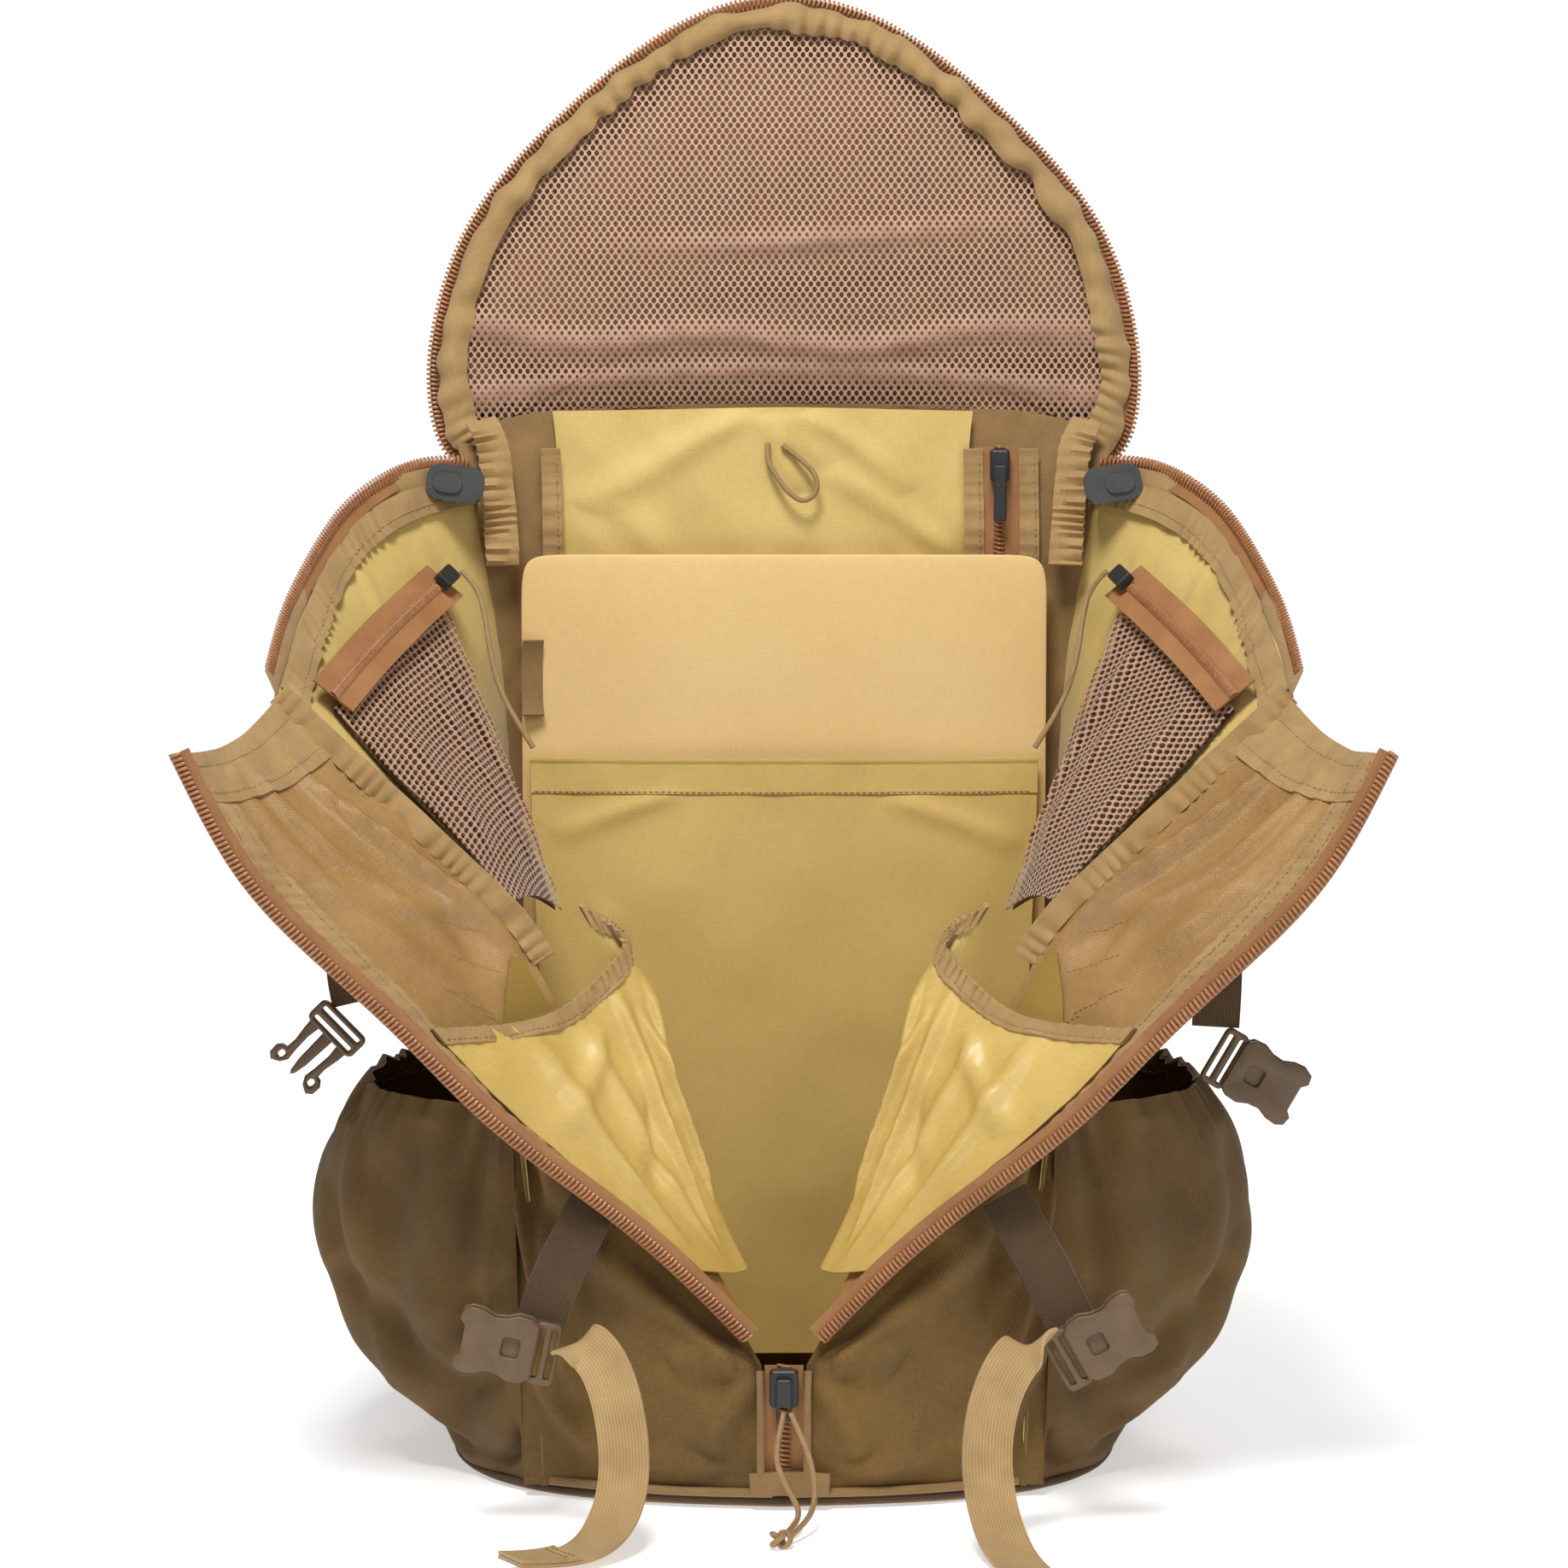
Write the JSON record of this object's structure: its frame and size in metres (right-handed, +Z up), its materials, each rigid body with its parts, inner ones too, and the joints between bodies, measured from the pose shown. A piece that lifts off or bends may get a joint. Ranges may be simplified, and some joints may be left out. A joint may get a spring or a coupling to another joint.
{
  "type": "hunting backpack",
  "caption": "Tall soft pack opened by three zips that meet on its front; lid turned up, front halves folded out, pockets and straps on the sides",
  "frame": {"origin": "centre of the flat face of the base, midway between the sides", "axes": "+Z up along the back panel, -Y out of the pack's opened front, +X to the right when looking at the front"},
  "size_m": [0.6052, 0.6468, 0.7923],
  "materials": {
    "tan_cloth": "woven nylon, matte",
    "yellow_lining": "coated pack cloth, soft sheen",
    "rose_mesh": "open hexagonal knit mesh",
    "copper_coil": "nylon coil zip on woven tape",
    "dark_moulding": "matte moulded",
    "brown_moulding": "satin moulded",
    "frame_plastic": "matte sheet",
    "stay_aluminium": "plain bar",
    "pad_cloth": "padded woven nylon",
    "tan_webbing": "ribbed woven webbing",
    "tan_cord": "braided cord"
  },
  "bodies": {
    "pack": {"base_panel": "tan_cloth", "back_panel": "tan_cloth", "frame_sheet": "frame_plastic", "frame_stays": "stay_aluminium", "back_pad": "pad_cloth", "lumbar_pad": "pad_cloth", "side_zip_chains": "copper_coil", "front_zip_chain": "copper_coil", "base_tab": "tan_webbing", "hydration_sleeve": "yellow_lining", "top_pocket_panel": "yellow_lining", "inner_zip_chains": "copper_coil", "lid_sliders": "dark_moulding", "hydration_loop": "tan_cord", "grab_handle": "tan_webbing", "shoulder_webbings": "tan_webbing", "base_ladder_locks": "dark_moulding", "left_side_wall": "tan_cloth", "left_front_panel": "tan_cloth", "left_mesh_pocket": "rose_mesh", "left_bottle_pocket": "tan_cloth", "left_lower_strap": "tan_webbing", "right_side_wall": "tan_cloth", "right_front_panel": "tan_cloth", "right_mesh_pocket": "rose_mesh", "right_bottle_pocket": "tan_cloth", "right_lower_strap": "tan_webbing"},
    "lid": {"lid_shell": "tan_cloth", "lid_zip_chain": "copper_coil", "lid_binding": "tan_cloth", "lid_mesh_pocket": "rose_mesh"},
    "board": {"sleeve_board": "yellow_lining"},
    "back_slider": {"back_zip_slider": "dark_moulding"},
    "centre_slider": {"centre_slider": "dark_moulding", "centre_pull_cord": "tan_cord", "centre_pull_knot": "tan_cord"},
    "left_flap": {"left_front_flap": "tan_cloth", "left_flap_zip_chain": "copper_coil", "left_slip_pocket": "yellow_lining"},
    "left_mesh_slider": {"left_mesh_slider": "dark_moulding", "left_mesh_pull_cord": "tan_cord"},
    "left_pull_tab": {"left_pull_tab": "dark_moulding"},
    "left_lower_buckle": {"left_lower_buckle": "brown_moulding"},
    "left_upper_strap": {"left_upper_strap": "tan_webbing", "left_upper_buckle": "brown_moulding"},
    "left_shoulder_strap": {"left_shoulder_strap": "pad_cloth"},
    "left_hip_wing": {"left_hip_wing": "pad_cloth", "left_hip_buckle": "brown_moulding"},
    "right_flap": {"right_front_flap": "tan_cloth", "right_flap_zip_chain": "copper_coil", "right_slip_pocket": "yellow_lining"},
    "right_mesh_slider": {"right_mesh_slider": "dark_moulding", "right_mesh_pull_cord": "tan_cord"},
    "right_pull_tab": {"right_pull_tab": "dark_moulding"},
    "right_lower_buckle": {"right_lower_buckle": "brown_moulding"},
    "right_upper_strap": {"right_upper_strap": "tan_webbing", "right_upper_buckle": "brown_moulding"},
    "right_shoulder_strap": {"right_shoulder_strap": "pad_cloth"},
    "right_hip_wing": {"right_hip_wing": "pad_cloth", "right_hip_buckle": "brown_moulding"}
  },
  "joints": [
    {"name": "lid_hinge", "type": "hinge", "parent": "pack", "child": "lid", "pos_m": [0, 0.127, 0.547], "axis": [1, 0, 0], "range_deg": [0, 85]},
    {"name": "board_slide", "type": "slide", "parent": "pack", "child": "board", "axis": [0, 0, 1], "range_m": [0, 0.04]},
    {"name": "back_slider_slide", "type": "slide", "parent": "pack", "child": "back_slider", "axis": [0, 0, -1], "range_m": [0, 0.07]},
    {"name": "centre_slider_slide", "type": "slide", "parent": "pack", "child": "centre_slider", "axis": [0, 0, -1], "range_m": [0, 0.03]},
    {"name": "left_flap_fold", "type": "hinge", "parent": "pack", "child": "left_flap", "pos_m": [-0.082, -0.12, 0.201], "axis": [-0.5111, 0.0949, 0.8543], "range_deg": [0, 42]},
    {"name": "left_mesh_slider_slide", "type": "slide", "parent": "pack", "child": "left_mesh_slider", "axis": [-0.288, -0.9071, -0.307], "range_m": [0, 0.1]},
    {"name": "left_pull_tab_hinge", "type": "hinge", "parent": "pack", "child": "left_pull_tab", "pos_m": [-0.167, 0.079, 0.521], "axis": [0, 0, 1], "range_deg": [0, 80]},
    {"name": "left_lower_buckle_hinge", "type": "hinge", "parent": "pack", "child": "left_lower_buckle", "pos_m": [-0.121, -0.182, 0.093], "axis": [0, 1, 0], "range_deg": [-6, 8]},
    {"name": "left_upper_strap_swing", "type": "hinge", "parent": "pack", "child": "left_upper_strap", "pos_m": [-0.218, -0.057, 0.372], "axis": [0, 1, 0], "range_deg": [0, 20]},
    {"name": "left_shoulder_strap_swing", "type": "hinge", "parent": "pack", "child": "left_shoulder_strap", "pos_m": [-0.052, 0.163, 0.488], "axis": [1, 0, 0], "range_deg": [0, 25]},
    {"name": "left_hip_wing_swing", "type": "hinge", "parent": "pack", "child": "left_hip_wing", "pos_m": [-0.124, 0.158, 0.1], "axis": [0, 0, 1], "range_deg": [0, 22]},
    {"name": "right_flap_fold", "type": "hinge", "parent": "pack", "child": "right_flap", "pos_m": [0.082, -0.12, 0.201], "axis": [-0.5111, -0.0949, -0.8543], "range_deg": [0, 42]},
    {"name": "right_mesh_slider_slide", "type": "slide", "parent": "pack", "child": "right_mesh_slider", "axis": [0.288, -0.9071, -0.307], "range_m": [0, 0.1]},
    {"name": "right_pull_tab_hinge", "type": "hinge", "parent": "pack", "child": "right_pull_tab", "pos_m": [0.167, 0.079, 0.521], "axis": [0, 0, -1], "range_deg": [0, 80]},
    {"name": "right_lower_buckle_hinge", "type": "hinge", "parent": "pack", "child": "right_lower_buckle", "pos_m": [0.143, -0.182, 0.09], "axis": [0, 1, 0], "range_deg": [-6, 8]},
    {"name": "right_upper_strap_swing", "type": "hinge", "parent": "pack", "child": "right_upper_strap", "pos_m": [0.218, -0.057, 0.372], "axis": [0, -1, 0], "range_deg": [0, 20]},
    {"name": "right_shoulder_strap_swing", "type": "hinge", "parent": "pack", "child": "right_shoulder_strap", "pos_m": [0.052, 0.163, 0.488], "axis": [1, 0, 0], "range_deg": [0, 25]},
    {"name": "right_hip_wing_swing", "type": "hinge", "parent": "pack", "child": "right_hip_wing", "pos_m": [0.124, 0.158, 0.1], "axis": [0, 0, -1], "range_deg": [0, 22]}
  ]
}
